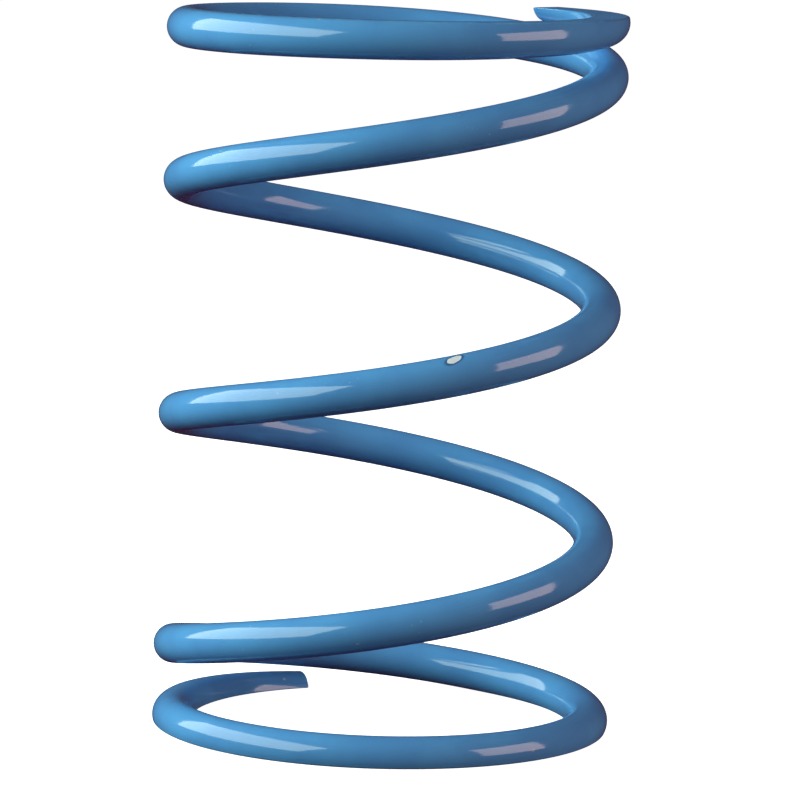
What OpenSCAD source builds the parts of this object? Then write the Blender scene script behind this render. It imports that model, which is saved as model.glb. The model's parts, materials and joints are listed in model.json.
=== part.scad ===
// Closed and ground compression coil spring, cold wound from one round bar, with a right-hand helix.
// The bar is laid out as 39 equal lengths, so that each length can travel by its own share of the stroke.
// The origin is the centre of the lower ground face, and +Z is the axis of the coil.

/* [Bar] */
// Diameter of the spring wire
wire_d = 11; // [8:0.5:14]

/* [Coil] */
// Diameter over the outside of the coil
outer_d = 127; // [100:1:160]
// Length between the ground faces with no load
free_length = 199; // [165:1:260]
// Turns of wire from tip to tip
total_turns = 4.81; // [3.85:0.01:6.85]
// Direction of the bottom tip, seen from above
tip_angle = 113; // [0:1:359]

/* [Ends] */
// Wire left above the ground face at each tip
tip_t = 4; // [3:0.5:6]
// Gap between the bottom tip and the turn above it
bottom_tip_gap = 1.5; // [0.4:0.1:5]
// Gap between the top tip and the turn below it
top_tip_gap = 1.2; // [0.4:0.1:5]
// How far the wire dips towards the ground face at the bottom tip
bottom_dip = 4; // [0:0.1:5]
// How far the wire dips towards the ground face at the top tip
top_dip = 5; // [0:0.1:6]
// Turns that the bottom dip takes
bottom_dip_turns = 0.35; // [0.1:0.01:0.5]
// Turns that the top dip takes
top_dip_turns = 0.39; // [0.1:0.01:0.5]
// Turns from the bottom tip to the middle of the opening bend
bottom_open = 0.9; // [0.85:0.01:1.15]
// Turns that the opening bend at the bottom takes
bottom_bend = 0.75; // [0.3:0.05:0.9]
// Turns from the top tip to the middle of the opening bend
top_open = 0.99; // [0.85:0.01:1.15]
// Turns that the opening bend at the top takes
top_bend = 0.51; // [0.3:0.01:0.9]

/* [Joints] */
// Hairline gap between two lengths of the bar
joint_gap = 0.04; // [0.02:0.01:0.1]

/* [Finish] */
// Colour of the powder coat
coat_colour = "#3f86c8"; // ["#3f86c8":Blue, "#b3202a":Red, "#e8b100":Yellow]

/* [Hidden] */
$fn = 96;
arc_count = 39;
end_arcs = 8;
active_arcs = arc_count - 2 * end_arcs;
arc_turn = total_turns / arc_count;
arc_half = 180 * arc_turn;
coil_r = (outer_d - wire_d) / 2;
// Heights of the wire's centre above the bottom ground face and below the top one, before the dips
bottom_lift = tip_t - wire_d / 2 + bottom_dip;
top_lift = tip_t - wire_d / 2 + top_dip;
// Extra angle that each arc runs past its cut faces
overrun = 3;

// Turns' worth of the next pitch gained by u turns, where a bend eases the wire from one pitch to the next
function bend(x) = x <= 0 ? 0 : x < 1 ? pow(x, 3) - pow(x, 4) / 2 : x - 0.5;
function opened(u, middle, width) = width * bend((u - middle) / width + 0.5);
// Part of a tip's dip that is left u turns from the tip
function dip(u, turns) = pow(max(0, 1 - u / turns), 2);

// Least pitch of a closed end that keeps the gap to the next turn from the tip to the end of the dip
function closed_pitch(gap, dip_depth, turns, open_at, width, active) = max([
    for (u = [0:turns / 10:turns])
        let (share = opened(u + 1, open_at, width) - opened(u, open_at, width))
        (wire_d + gap - dip_depth * dip(u, turns) - active * share) / (1 - share)
]);
function bottom_closed(active) =
    closed_pitch(bottom_tip_gap, bottom_dip, bottom_dip_turns, bottom_open, bottom_bend, active);
function top_closed(active) =
    closed_pitch(top_tip_gap, top_dip, top_dip_turns, top_open, top_bend, active);

// Pitch of the active turns, for which the three pitches together add up to the free length. The closed
// pitches depend on it a little, so it is worked out in a few rounds.
past_bottom = opened(total_turns, bottom_open, bottom_bend);
past_top = opened(top_open, 0, top_bend);
function settled(active, rounds) = rounds == 0 ? active : settled(
    (free_length - bottom_lift - top_lift - bottom_closed(active) * (total_turns - past_bottom)
        - top_closed(active) * past_top) / (past_bottom - past_top),
    rounds - 1);
active_pitch = settled(free_length / total_turns, 20);
bottom_pitch = bottom_closed(active_pitch);
top_pitch = top_closed(active_pitch);

// Height of the wire's centre u turns after the bottom tip, and the point itself
function wire_z(u) = bottom_lift + bottom_pitch * u
    + (active_pitch - bottom_pitch) * opened(u, bottom_open, bottom_bend)
    + (top_pitch - active_pitch) * opened(u, total_turns - top_open, top_bend)
    - bottom_dip * dip(u, bottom_dip_turns) + top_dip * dip(total_turns - u, top_dip_turns);
function wire_point(u) = let (a = tip_angle + 360 * u) [coil_r * cos(a), coil_r * sin(a), wire_z(u)];
function unit(v) = v / norm(v);
function frame(x, y, z, p) =
    [[x[0], y[0], z[0], p[0]], [x[1], y[1], z[1], p[1]], [x[2], y[2], z[2], p[2]], [0, 0, 0, 1]];

// Round bar along the circle through the start, middle and end of arc i
module bent_bar(i) {
    start = wire_point(i * arc_turn);
    middle = wire_point((i + 0.5) * arc_turn);
    end = wire_point((i + 1) * arc_turn);
    along = unit(end - start);
    half_chord = norm(end - start) / 2;
    rise = middle - (start + end) / 2;
    bow = rise - (rise * along) * along;
    out = unit(bow);
    bend_r = (pow(half_chord, 2) + pow(norm(bow), 2)) / (2 * norm(bow));
    sweep = 2 * (asin(half_chord / bend_r) + overrun);
    centre = (start + end) / 2 + out * (norm(bow) - bend_r);
    multmatrix(frame(out, along, cross(out, along), centre))
        rotate([0, 0, -sweep / 2])
            rotate_extrude(angle = sweep)
                translate([bend_r, 0])
                    circle(d = wire_d);
}

// Wedge between the two upright cut faces of arc i, from one ground plane to the other
module slice(i) {
    reach = outer_d;
    set_back = joint_gap / 2 / sin(arc_half);
    rotate([0, 0, tip_angle + 360 * (i + 0.5) * arc_turn])
        translate([set_back, 0, 0])
            linear_extrude(free_length)
                polygon([[0, 0], [reach * cos(arc_half), -reach * sin(arc_half)],
                         [reach * cos(arc_half), reach * sin(arc_half)]]);
}

module wire_arc(i) {
    color(coat_colour)
        intersection() {
            bent_bar(i);
            slice(i);
        }
}

for (i = [0:arc_count - 1])
    wire_arc(i);
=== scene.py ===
import json
from math import cos, pi, radians, sin

import bpy
import numpy as np
from mathutils import Matrix, Vector


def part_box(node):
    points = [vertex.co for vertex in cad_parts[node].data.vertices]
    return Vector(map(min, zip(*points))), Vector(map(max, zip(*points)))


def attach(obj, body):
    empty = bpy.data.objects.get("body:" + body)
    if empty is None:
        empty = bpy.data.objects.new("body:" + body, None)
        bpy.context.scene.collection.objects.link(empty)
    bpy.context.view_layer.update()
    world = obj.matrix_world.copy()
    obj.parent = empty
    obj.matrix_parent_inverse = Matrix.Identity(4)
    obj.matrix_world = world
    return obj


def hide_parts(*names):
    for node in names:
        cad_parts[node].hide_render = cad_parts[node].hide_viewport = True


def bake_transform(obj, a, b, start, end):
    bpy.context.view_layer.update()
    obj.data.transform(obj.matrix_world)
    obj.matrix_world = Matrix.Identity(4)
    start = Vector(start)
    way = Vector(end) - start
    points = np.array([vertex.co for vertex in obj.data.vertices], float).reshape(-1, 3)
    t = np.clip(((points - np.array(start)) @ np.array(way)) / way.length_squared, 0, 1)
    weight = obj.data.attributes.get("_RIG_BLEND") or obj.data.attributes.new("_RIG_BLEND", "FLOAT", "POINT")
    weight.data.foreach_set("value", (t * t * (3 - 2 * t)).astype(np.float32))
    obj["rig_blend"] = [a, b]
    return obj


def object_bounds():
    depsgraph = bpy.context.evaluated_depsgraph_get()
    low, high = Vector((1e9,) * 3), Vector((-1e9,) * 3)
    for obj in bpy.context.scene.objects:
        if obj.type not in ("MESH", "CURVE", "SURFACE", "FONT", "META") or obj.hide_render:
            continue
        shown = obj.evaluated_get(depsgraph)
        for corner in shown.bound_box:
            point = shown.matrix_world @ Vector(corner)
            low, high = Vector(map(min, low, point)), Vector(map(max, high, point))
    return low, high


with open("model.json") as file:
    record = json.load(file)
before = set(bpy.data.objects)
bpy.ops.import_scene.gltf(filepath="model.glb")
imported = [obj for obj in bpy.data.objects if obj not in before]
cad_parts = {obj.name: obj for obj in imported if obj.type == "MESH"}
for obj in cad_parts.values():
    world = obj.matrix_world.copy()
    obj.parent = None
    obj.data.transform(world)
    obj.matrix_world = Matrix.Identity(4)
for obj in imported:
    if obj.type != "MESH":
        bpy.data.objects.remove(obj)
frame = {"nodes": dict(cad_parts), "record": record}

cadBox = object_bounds()
scene = bpy.context.scene
scene.view_settings.view_transform = "Standard"
print("frame loaded:", len(frame["nodes"]), "lengths of the bar")


# the bar's driving sizes, the same as the part's own
bar = {
    "diameter": 0.011,
    "turns": 4.81,
    "tipAngle": 113,               # degrees, seen from above
    "tipThickness": 0.004,         # left above the ground face at each tip
    "bottomGap": 0.0015,           # from a tip to the turn next to it
    "topGap": 0.0012,
    "bottomOpen": (0.9, 0.75),     # turns to the middle of the opening bend, and its length
    "topOpen": (0.99, 0.51),
    "bottomDip": (0.004, 0.35),    # how far the wire dips at a tip, and the turns it takes
    "topDip": (0.005, 0.39),
}
barRadius = bar["diameter"] / 2
outerRadius = max(abs(corner[axis]) for corner in cadBox for axis in (0, 1))
coilRadius = outerRadius - barRadius
freeLength = cadBox[1].z
endLengths = 8                     # lengths in each closed end
lengthNames = (["bottom_tip"] + [f"bottom_end_{i}" for i in range(1, endLengths)]
               + [f"active_coil_{i}" for i in range(1, len(frame["nodes"]) - 2 * endLengths + 1)]
               + [f"top_end_{i}" for i in range(1, endLengths)] + ["top_tip"])
turnStep = bar["turns"] / len(lengthNames)


def opened(u, middle, width):
    x = (u - middle) / width + 0.5
    return width * np.where(x <= 0, 0, np.where(x < 1, x**3 - x**4 / 2, x - 0.5))


def dipped(u, depth, turns):
    return depth * np.maximum(0, 1 - u / turns) ** 2


def closedPitch(gap, opening, dip, active):
    # least pitch of a closed end that keeps its gap to the next turn all along the dip
    u = np.linspace(0, dip[1], 11)
    share = opened(u + 1, *opening) - opened(u, *opening)
    return np.max((bar["diameter"] + gap - dipped(u, *dip) - active * share) / (1 - share))


def closedPitches(active):
    return (closedPitch(bar["bottomGap"], bar["bottomOpen"], bar["bottomDip"], active),
            closedPitch(bar["topGap"], bar["topOpen"], bar["topDip"], active))


# wire centre inside each ground face before the dips, and the three pitches that add up to the free length
bottomLift = bar["tipThickness"] - barRadius + bar["bottomDip"][0]
topLift = bar["tipThickness"] - barRadius + bar["topDip"][0]
pastBottom = opened(bar["turns"], *bar["bottomOpen"])
pastTop = opened(bar["topOpen"][0], 0, bar["topOpen"][1])
activePitch = freeLength / bar["turns"]
for settling in range(20):
    bottomPitch, topPitch = closedPitches(activePitch)
    closedHeight = bottomPitch * (bar["turns"] - pastBottom) + topPitch * pastTop
    activePitch = (freeLength - bottomLift - topLift - closedHeight) / (pastBottom - pastTop)
bottomPitch, topPitch = closedPitches(activePitch)
print(f"pitches in mm: {bottomPitch * 1000:.4f}, {activePitch * 1000:.4f}, {topPitch * 1000:.4f}")


def barHeight(u):
    n = bar["turns"]
    topMiddle, topWidth = bar["topOpen"]
    return (bottomLift + bottomPitch * u
            + (activePitch - bottomPitch) * opened(u, *bar["bottomOpen"])
            + (topPitch - activePitch) * opened(u, n - topMiddle, topWidth)
            - dipped(u, *bar["bottomDip"]) + dipped(n - u, *bar["topDip"]))


def barAngle(u):
    return np.radians(bar["tipAngle"]) + 2 * pi * u


# How much of the stroke each place on the bar takes: smooth through the couplings that the frame has
ratios = {c["joint"]: c["ratio"] for c in frame["record"]["behaviour"]["couplings"]}
freeLengths = [n for n in lengthNames if n.startswith("active_coil")]
shareTurns = np.array([endLengths] + [endLengths + i + 0.5 for i in range(len(freeLengths))]
                      + [endLengths + len(freeLengths)]) * turnStep
shareValues = [ratios[n.replace("active_coil", "coil") + "_travel"] for n in freeLengths]
shareValues = np.array([0.0] + shareValues + [1.0])
shareSlopes = np.gradient(shareValues, shareTurns)
shareSlopes[[0, -1]] = 0


def strokeShare(u):
    u = np.clip(u, shareTurns[0], shareTurns[-1])
    k = np.clip(np.searchsorted(shareTurns, u, side="right") - 1, 0, len(shareTurns) - 2)
    step = shareTurns[k + 1] - shareTurns[k]
    t = (u - shareTurns[k]) / step
    value = ((2 * t**3 - 3 * t**2 + 1) * shareValues[k] + (t**3 - 2 * t**2 + t) * step * shareSlopes[k]
             + (3 * t**2 - 2 * t**3) * shareValues[k + 1] + (t**3 - t**2) * step * shareSlopes[k + 1])
    return np.clip(value, 0, 1)


skin = {
    "around": 88,             # points in a ring
    "ringsPerLength": 28,
    "profileSteps": 720,      # fine steps each ring is picked from
    "rimRound": 0.0009,       # rounding where a ground face meets the round bar
    "tipRound": 0.00055,      # rounded edge of the sawn tip
    "cornerPull": 0.9,        # how closely points gather at a corner
    "groundDepth": 0.00012,   # how near a ground plane a point counts as ground
    "slopeStep": 0.0001,      # turns either side, to take the slope
    "tipRings": 6,            # rings in the rounded edge of a tip
}


def softMin(a, b, k):
    h = np.maximum(k - np.abs(a - b), 0) / k
    return np.minimum(a, b) - h * h * k / 4, h


def ringsAt(u, inset):
    # Upright sections of the bar at u turns, cut by both ground planes. Returns points and masks.
    u, inset = np.asarray(u, float)[:, None], np.asarray(inset, float)[:, None]
    z = barHeight(u)
    step = skin["slopeStep"]
    slope = (barHeight(u + step) - barHeight(u - step)) / (2 * step) / (2 * pi * coilRadius)
    tall = barRadius * np.sqrt(1 + slope**2)
    low, high = np.maximum(z - tall, 0), np.minimum(z + tall, freeLength)
    heart = (low + high) / 2
    a = pi / 2 + np.linspace(0, 2 * pi, skin["profileSteps"] + 1)[None, :]
    across, up = np.cos(a), np.sin(a)
    qa = (across / barRadius) ** 2 + (up / tall) ** 2
    qb = (heart - z) * up / tall**2
    qc = ((heart - z) / tall) ** 2 - 1
    toSkin = (-qb + np.sqrt(qb**2 - qa * qc)) / qa
    toFloor = np.where(up < -1e-6, heart / np.maximum(-up, 1e-6), 1.0)
    toRoof = np.where(up > 1e-6, (freeLength - heart) / np.maximum(up, 1e-6), 1.0)
    reach, rimLow = softMin(toSkin, toFloor, skin["rimRound"])
    reach, rimHigh = softMin(reach, toRoof, skin["rimRound"])
    x, y = reach * across, reach * up
    # spread the points by length along the outline, closer together where it turns sharply
    dx, dy = np.diff(x, axis=1), np.diff(y, axis=1)
    run = np.hypot(dx, dy)
    turning = np.arctan2(dy, dx)
    turning = np.abs((np.diff(turning, axis=1, append=turning[:, :1]) + pi) % (2 * pi) - pi)
    extra = np.maximum(turning - run / barRadius, 0) * barRadius * skin["cornerPull"]
    weight = np.concatenate([np.zeros_like(u), np.cumsum(run + extra, axis=1)], axis=1)
    rings = []
    for j in range(len(u)):
        at = np.linspace(0, weight[j, -1], skin["around"], endpoint=False)
        rings.append([np.interp(at, weight[j], row) for row in (x[j], y[j], rimLow[j] + rimHigh[j])])
    rings = np.array(rings)
    px, py, rim = rings[:, 0], rings[:, 1], rings[:, 2]
    size = np.hypot(px, py)
    shrink = np.maximum(size - inset, 0) / size
    px, py = px * shrink, heart + py * shrink
    angle = barAngle(u)
    points = np.stack([(coilRadius + px) * np.cos(angle), (coilRadius + px) * np.sin(angle), py], axis=-1)
    ground = np.clip(1 - np.minimum(py, freeLength - py) / skin["groundDepth"], 0, 1)
    around = np.arctan2(py - z, px)
    return points, np.clip(rim, 0, 1), ground, around


# where the bar's side and its two cut ends lie on the flat sheet
flatSheet = {
    "margin": 0.01,
    "width": 0.98,
    "height": 0.82,
    "discsAt": (0.08, 0.24),
    "discsUp": 0.92,
    "discRadius": 0.06,
}


def bodyOf(name):
    return next(b for b, members in frame["record"]["behaviour"]["bodies"].items() if name in members)


def lengthPiece(i, name):
    # Rings from one end of the length to the other, with a ghost ring past each inner end for its normals
    start, end = i * turnStep, (i + 1) * turnStep
    step = turnStep / skin["ringsPerLength"]
    u = list(start + step * np.arange(skin["ringsPerLength"] + 1))
    inset = [0.0] * len(u)
    roundBy = skin["tipRound"]
    quarter = np.linspace(0, pi / 2, skin["tipRings"])
    roundOff = [(roundBy * (1 - sin(t)), roundBy * (1 - cos(t))) for t in quarter]
    roundOff = [(back / (2 * pi * coilRadius), pull) for back, pull in roundOff]
    isFirst, isLast = i == 0, i == len(lengthNames) - 1
    if isFirst:
        u = [start + back for back, pull in reversed(roundOff)] + u[1:]
        inset = [pull for back, pull in reversed(roundOff)] + inset[1:]
    if isLast:
        u = u[:-1] + [end - back for back, pull in roundOff]
        inset = inset[:-1] + [pull for back, pull in roundOff]
    ghostU = ([] if isFirst else [start - step]) + u + ([] if isLast else [end + step])
    ghostInset = ([] if isFirst else [0]) + inset + ([] if isLast else [0])
    points, rim, ground, around = ringsAt(ghostU, ghostInset)
    along = np.gradient(points, axis=0)
    about = np.roll(points, -1, axis=1) - np.roll(points, 1, axis=1)
    normals = np.cross(about, along)
    normals /= np.linalg.norm(normals, axis=2)[..., None]
    keep = slice(0 if isFirst else 1, len(ghostU) if isLast else -1)
    points, normals, rim, ground, around = (v[keep] for v in (points, normals, rim, ground, around))
    outward = points - points.mean(axis=1, keepdims=True)
    if (outward * normals).sum() < 0:
        normals = -normals
    n, count = skin["around"], len(u)
    verts = points.reshape(-1, 3)
    faces = [(j * n + k, (j + 1) * n + k, (j + 1) * n + (k + 1) % n, j * n + (k + 1) % n)
             for j in range(count - 1) for k in range(n)]
    caps = [tuple(range(n)), tuple((count - 1) * n + k for k in range(n))[::-1]]
    mesh = bpy.data.meshes.new(name)
    mesh.from_pydata([tuple(v) for v in verts], [], faces + caps)
    mesh.polygons.foreach_set("use_smooth", [True] * len(mesh.polygons))

    # the ghost rings make neighbouring lengths share their normals and meet with no seam; the caps stay flat
    angles = barAngle(np.array([u[0], u[-1]]))
    capNormals = [(sin(angles[0]), -cos(angles[0]), 0), (-sin(angles[1]), cos(angles[1]), 0)]
    flatNormals = normals.reshape(-1, 3)
    loopVertex = np.zeros(len(mesh.loops), int)
    mesh.loops.foreach_get("vertex_index", loopVertex)
    loopNormals = flatNormals[loopVertex]
    loopNormals[-2 * n:-n] = capNormals[0]
    loopNormals[-n:] = capNormals[1]
    for isTip, ring in ((isFirst, 0), (isLast, count - 1)):
        if isTip:
            on = (loopVertex // n) == ring
            loopNormals[on] = capNormals[0 if ring == 0 else 1]
    mesh.normals_split_custom_set([tuple(v) for v in loopNormals])

    def pointValues(label, kind, values):
        attribute = mesh.attributes.new(label, kind, "POINT")
        attribute.data.foreach_set("vector" if kind == "FLOAT_VECTOR" else "value",
                                   np.asarray(values, np.float32).ravel())

    turnsHere = np.repeat(np.array(u), n)
    pointValues("restPlace", "FLOAT_VECTOR", verts)
    pointValues("rim", "FLOAT", rim)
    pointValues("ground", "FLOAT", ground)
    pointValues("turns", "FLOAT", turnsHere)
    pointValues("around", "FLOAT", around)

    # one flat sheet for the bar's side and a small disc for each cut end
    sheet = mesh.uv_layers.new(name="OFBake")
    uv = np.zeros((len(mesh.loops), 2))
    reach = (np.array(u) - u[0]) / (u[-1] - u[0])
    faceCount = (count - 1) * n
    for corner, (dj, dk) in enumerate(((0, 0), (1, 0), (1, 1), (0, 1))):
        j, k = np.divmod(np.arange(faceCount), n)
        uv[corner:4 * faceCount:4, 0] = flatSheet["margin"] + flatSheet["width"] * reach[j + dj]
        uv[corner:4 * faceCount:4, 1] = flatSheet["margin"] + flatSheet["height"] * (k + dk) / n
    radius, up = flatSheet["discRadius"], flatSheet["discsUp"]
    for cap, left in enumerate(flatSheet["discsAt"]):
        disc = slice(4 * faceCount + cap * n, 4 * faceCount + (cap + 1) * n)
        turn = 2 * pi * (loopVertex[disc] % n) / n
        uv[disc] = np.stack([left + radius * np.cos(turn), up + radius * np.sin(turn)], axis=1)
    sheet.data.foreach_set("uv", uv.ravel())

    piece = bpy.data.objects.new("coated_" + name, mesh)
    scene.collection.objects.link(piece)
    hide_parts(name)
    body = bodyOf(name)
    if body in ("bottom_end", "top_end"):
        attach(piece, body)
    else:
        # the free bar shortens evenly, so each ring follows the top end by its own share of the stroke
        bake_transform(piece, "bottom_end", "top_end", start=(0, 0, 0), end=(0, 0, freeLength))
        mesh.attributes["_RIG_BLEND"].data.foreach_set("value", strokeShare(turnsHere).astype(np.float32))
    return piece


class Value:
    # A socket that takes part in sums
    def __init__(self, graph, socket):
        self.graph, self.socket = graph, socket

    def math(self, operation, first, second=0.0, clamp=False):
        settings = {"operation": operation, "use_clamp": clamp}
        return self.graph.node("ShaderNodeMath", settings, {0: first, 1: second})

    def __add__(self, other):
        return self.math("ADD", self, other)

    def __radd__(self, other):
        return self.math("ADD", other, self)

    def __sub__(self, other):
        return self.math("SUBTRACT", self, other)

    def __rsub__(self, other):
        return self.math("SUBTRACT", other, self)

    def __mul__(self, other):
        return self.math("MULTIPLY", self, other)

    def __rmul__(self, other):
        return self.math("MULTIPLY", other, self)

    def atLeast(self, other):
        return self.math("MAXIMUM", self, other)

    def clamped(self):
        return self.math("ADD", self, 0.0, clamp=True)


class Graph:
    # The nodes of a material or of the world
    def __init__(self, owner):
        self.owner = owner
        owner.use_nodes = True
        self.tree = owner.node_tree
        self.tree.nodes.clear()

    def node(self, kind, settings={}, inputs={}, output=0):
        made = self.tree.nodes.new(kind)
        for key, value in settings.items():
            setattr(made, key, value)
        for key, value in inputs.items():
            if isinstance(value, Value):
                self.tree.links.new(value.socket, made.inputs[key])
            else:
                made.inputs[key].default_value = value
        return Value(self, made.outputs[output]) if len(made.outputs) else None

    def finished(self, shader, kind="ShaderNodeOutputMaterial"):
        self.node(kind, {}, {"Surface": shader})
        return self.owner

    def attribute(self, name, output="Fac"):
        return self.node("ShaderNodeAttribute", {"attribute_name": name}, output=output)

    def noise(self, place, scale, detail=2.0, roughness=0.5):
        return self.node("ShaderNodeTexNoise", {}, {"Vector": place, "Scale": scale, "Detail": detail,
                                                   "Roughness": roughness}, "Fac")

    def between(self, value, low, high):
        return self.node("ShaderNodeMapRange", {"interpolation_type": "SMOOTHSTEP"},
                         {"Value": value, "From Min": low, "From Max": high}, "Result")

    def mixed(self, factor, first, second):
        return self.node("ShaderNodeMix", {"data_type": "RGBA"}, {0: factor, 6: first, 7: second}, 2)


coat = {
    "colour": (0.100, 0.360, 0.755, 1),
    "deepColour": (0.090, 0.318, 0.700, 1),    # where the powder lies thicker
    "thinColour": (0.150, 0.480, 0.810, 1),    # where it pulls back from an edge
    "chipColour": (0.82, 0.92, 1.00, 1),       # pale primer in a chip
    "chipShadeColour": (0.012, 0.045, 0.140, 1),    # shadowed lip of the coat around a chip
    # grey dots: the one at the bottom tip (0.022 turns) is a painted highlight of light caught on a nib in
    # the coat
    "speckAndGlintColour": (0.36, 0.46, 0.60, 1),
    "dustColour": (0.62, 0.70, 0.78, 1),
    "roughness": 0.10,
    "gloss": 1.52,                             # index of refraction of the powder's skin
    "cloudScale": 55,                          # noises, from slow clouds in the film to fine grain, per metre
    "patchScale": 260,
    "grainScale": 900,
    "grindingScale": (4200, 160, 160),         # fine lines across the ground faces
    "grindingDepth": 0.000012,
    "dustScale": 420,
    "dustPatchScale": 38,
    "chipDepth": 0.00007,
    "peelSize": 0.0019,                        # metres between the bumps of the orange peel
    "peelDepth": 0.000022,
    "bumpStrength": 0.6,
    # marks: turns from the bottom tip, degrees around from the outside, half length and half width in
    # metres, and slant
    "chips": [(2.482, 63, 0.0022, 0.0014, 0.5)],
    # the first speck, at the bottom tip, is a painted highlight on a nib in the coat; the rest are small grey
    # dots
    "specks": [(0.022, 135, 0.0006, 0.0005, 0), (0.55, 8, 0.0007, 0.0005, 0.3), (4.38, 62, 0.0005, 0.0004, 0),
               (1.42, -28, 0.0005, 0.0003, 0), (3.30, 48, 0.0004, 0.0004, 0)],
}


def powderCoat():
    g = Graph(bpy.data.materials.new("glossBluePowderCoat"))
    place = g.attribute("restPlace", "Vector")
    rim, ground = g.attribute("rim"), g.attribute("ground")
    turns, around = g.attribute("turns"), g.attribute("around")

    slow = g.noise(place, coat["cloudScale"], 3)
    fine = g.noise(place, coat["grainScale"], 4, 0.65)
    patchy = g.noise(place, coat["patchScale"], 4, 0.6)
    film = g.between(slow, 0.35, 0.65)

    # marks with a ragged edge: positive inside, falling outwards
    ragged = (patchy - 0.5) * 0.9 + (fine - 0.5) * 0.7

    def marks(places):
        deepest = None
        for at, degrees, halfLong, halfWide, slant in places:
            lengthwise = (turns - at) * (2 * pi * coilRadius / halfLong)
            crosswise = (around - radians(degrees)) * (barRadius / halfWide) - lengthwise * slant
            inside = 1 - (lengthwise * lengthwise + crosswise * crosswise) - ragged
            deepest = inside if deepest is None else deepest.atLeast(inside)
        return deepest

    chips = marks(coat["chips"])
    chipped = g.between(chips, 0.0, 0.18)
    # painted shade: a dark ring round each chip stands for the shadowed lip of the coat
    chipShadeRing = g.between(chips, -1.3, 0.0) * (1 - chipped)
    # small grey dots; the bottom-tip one is a painted highlight on a nib in the coat
    speckedAndGlinting = g.between(marks(coat["specks"]), 0.0, 0.5)

    # rubbed edges of the ground faces, fine grinding lines showing through the coat on them, dust specks
    rubbed = g.between(rim * 0.55 + patchy * 0.6, 0.78, 0.92)
    worn = (rubbed * 0.55 * g.between(fine, 0.35, 0.6)).clamped()
    stretched = g.node("ShaderNodeVectorMath", {"operation": "MULTIPLY"},
                       {0: place, 1: coat["grindingScale"]})
    lines = g.noise(stretched, 1, 3)
    dots = g.node("ShaderNodeTexVoronoi", {}, {"Vector": place, "Scale": coat["dustScale"]}, "Distance")
    dustyPatches = g.between(g.noise(place, coat["dustPatchScale"], 2), 0.58, 0.66)
    dusty = g.between(dots, 0.085, 0.05) * dustyPatches

    colour = g.mixed(film, coat["colour"], coat["deepColour"])
    colour = g.mixed((rim * 0.5 * g.between(patchy, 0.3, 0.7)).clamped(), colour, coat["thinColour"])
    colour = g.mixed(worn, colour, coat["thinColour"])
    colour = g.mixed((dusty * 0.5).clamped(), colour, coat["dustColour"])
    colour = g.mixed(speckedAndGlinting * 0.8, colour, coat["speckAndGlintColour"])
    # painted shade round the chip
    colour = g.mixed(chipShadeRing * 0.7, colour, coat["chipShadeColour"])
    colour = g.mixed(chipped, colour, coat["chipColour"])

    rough = (coat["roughness"] + (patchy - 0.5) * 0.06 + ground * (0.10 + lines * 0.10)
             + worn * 0.25 + chipped * 0.3)
    peel = g.noise(place, 1 / coat["peelSize"], 1.5, 0.4) + slow * 0.5
    height = peel * coat["peelDepth"] + ground * lines * coat["grindingDepth"] - chipped * coat["chipDepth"]
    bumped = g.node("ShaderNodeBump", {},
                    {"Height": height, "Strength": coat["bumpStrength"], "Distance": 1.0})
    shader = g.node("ShaderNodeBsdfPrincipled", {}, {
        "Base Color": colour, "Roughness": rough.clamped(), "Normal": bumped, "IOR": coat["gloss"]})
    return g.finished(shader)


coatMaterial = powderCoat()
print("powder coat ready")

farthest = 0
for i, name in enumerate(lengthNames):
    piece = lengthPiece(i, name)
    piece.data.materials.append(coatMaterial)
    low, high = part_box(name)
    verts = np.array([v.co for v in piece.data.vertices])
    offLow, offHigh = verts.min(0) - np.array(low), verts.max(0) - np.array(high)
    farthest = max(farthest, np.abs(offLow).max(), np.abs(offHigh).max())
print(f"coated bar ready: {len(lengthNames)} lengths, at most {farthest * 1000:.2f} mm off the frame's boxes")


studio = {
    "floorHalf": 30,              # metres from the middle to an edge
    "floorColour": (0.90, 0.90, 0.90, 1),
    "floorGlow": 1.0,             # keeps the floor even and pale
    "air": (0.040, 0.012, 0.026, 1),
}


def makeFloor():
    half = studio["floorHalf"]
    mesh = bpy.data.meshes.new("floor")
    corners = [(-half, -half, 0), (half, -half, 0), (half, half, 0), (-half, half, 0)]
    mesh.from_pydata(corners, [], [(0, 1, 2, 3)])
    floor = bpy.data.objects.new("floor", mesh)
    scene.collection.objects.link(floor)
    g = Graph(bpy.data.materials.new("paleFloor"))
    matte = g.node("ShaderNodeBsdfDiffuse", {}, {"Color": studio["floorColour"]})
    glow = g.node("ShaderNodeEmission", {}, {"Color": (1, 1, 1, 1), "Strength": studio["floorGlow"]})
    both = g.node("ShaderNodeAddShader", {}, {0: matte, 1: glow})
    mesh.materials.append(g.finished(both))
    floor.visible_diffuse = False
    floor.visible_glossy = False


makeFloor()


def softbox(name, direction, distance, size, power, colour):
    target = Vector((0, 0, freeLength / 2))
    lamp = bpy.data.lights.new(name, "AREA")
    lamp.shape = "RECTANGLE"
    lamp.size, lamp.size_y = size
    lamp.energy, lamp.color = power, colour
    holder = bpy.data.objects.new(name, lamp)
    away = Vector(direction).normalized()
    holder.location = target + away * distance
    holder.rotation_mode = "QUATERNION"
    holder.rotation_quaternion = away.to_track_quat("Z", "Y")
    scene.collection.objects.link(holder)


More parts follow.
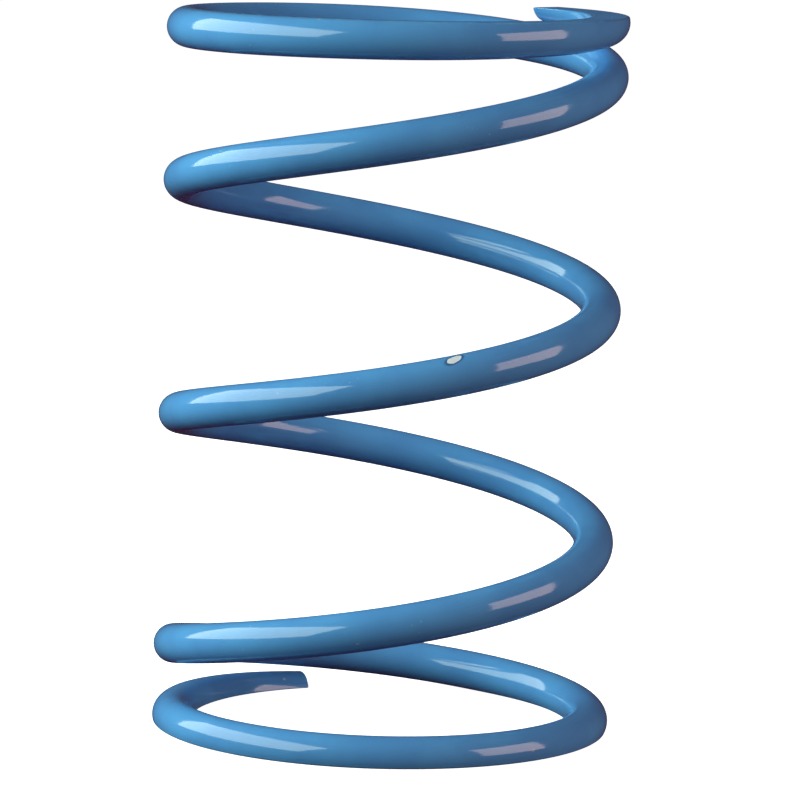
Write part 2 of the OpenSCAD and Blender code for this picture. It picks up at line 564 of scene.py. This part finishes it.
def fromSide(azimuth, elevation):
    # azimuth from the front towards +X, in degrees
    a, e = radians(azimuth), radians(elevation)
    return sin(a) * cos(e), -cos(a) * cos(e), sin(e)


lamps = {
    "keySoftbox": {"at": (-80, 28), "distance": 1.1, "size": (2.0, 0.85),
                   "power": 25.0, "colour": (0.86, 1.0, 0.88)},
    "sideSoftbox": {"at": (70, 13), "distance": 1.1, "size": (0.75, 0.70),
                    "power": 6.8, "colour": (1.0, 0.71, 0.62)},
    "overheadSoftbox": {"at": (-60, 82), "distance": 1.5, "size": (2.4, 2.4),
                        "power": 1.0, "colour": (0.5, 0.7, 1.0)},
}
for lampName, l in lamps.items():
    softbox(lampName, fromSide(*l["at"]), l["distance"], l["size"], l["power"], l["colour"])


def makeAir():
    # faint violet light from all round, seen as plain white past the edge of the floor
    g = Graph(bpy.data.worlds.new("air"))
    air = g.node("ShaderNodeBackground", {}, {"Color": studio["air"]})
    white = g.node("ShaderNodeBackground", {}, {"Color": (1, 1, 1, 1)})
    seen = g.node("ShaderNodeLightPath", output="Is Camera Ray")
    chosen = g.node("ShaderNodeMixShader", {}, {0: seen, 1: air, 2: white})
    scene.world = g.finished(chosen, "ShaderNodeOutputWorld")


makeAir()
print("stage and lights ready")


view = {
    "from": (0, -1.3022, 0.2603),
    "aim": (0, 0, 0.0995),
    "lens": 213.35,
    "roll": 1.581,                # degrees
    "shift": (0.0136, -0.0379),
    "sensor": 36,
    "clip": (0.05, 100),
}
lens = bpy.data.cameras.new("camera")
lens.sensor_width = view["sensor"]
lens.lens = view["lens"]
lens.shift_x, lens.shift_y = view["shift"]
lens.clip_start, lens.clip_end = view["clip"]
camera = bpy.data.objects.new("camera", lens)
scene.collection.objects.link(camera)
looking = (Vector(view["aim"]) - Vector(view["from"])).to_track_quat("-Z", "Y").to_matrix().to_4x4()
camera.matrix_world = (Matrix.Translation(view["from"]) @ looking
                       @ Matrix.Rotation(radians(view["roll"]), 4, "Z"))
scene.camera = camera
